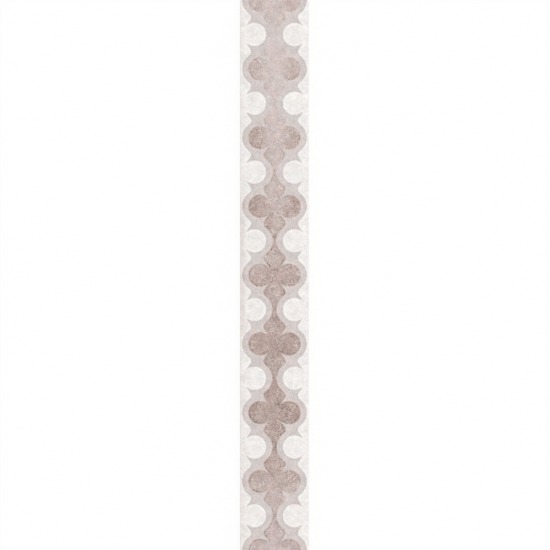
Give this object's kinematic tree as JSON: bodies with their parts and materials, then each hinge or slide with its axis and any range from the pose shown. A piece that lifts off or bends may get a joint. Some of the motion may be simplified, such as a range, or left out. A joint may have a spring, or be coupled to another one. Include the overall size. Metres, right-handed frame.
{
  "type": "border tile",
  "caption": "Narrow rectangular ceramic border tile with a printed interlocking quatrefoil ornament, rounded face arris and keyed back, for trimming a tiled wall.",
  "frame": {"origin": "middle of the keyed back, on the plane of the rib faces that rest on the floor or the wall", "axes": "+Z out of the glazed face, +Y along the length, towards the end that is at the top of the picture, +X across the width"},
  "size_m": [0.075, 0.6, 0.009],
  "materials": {
    "glazed_tile": "satin matt printed glaze over a fired clay body"
  },
  "bodies": {
    "root": {"border_tile": "glazed_tile"}
  },
  "joints": []
}
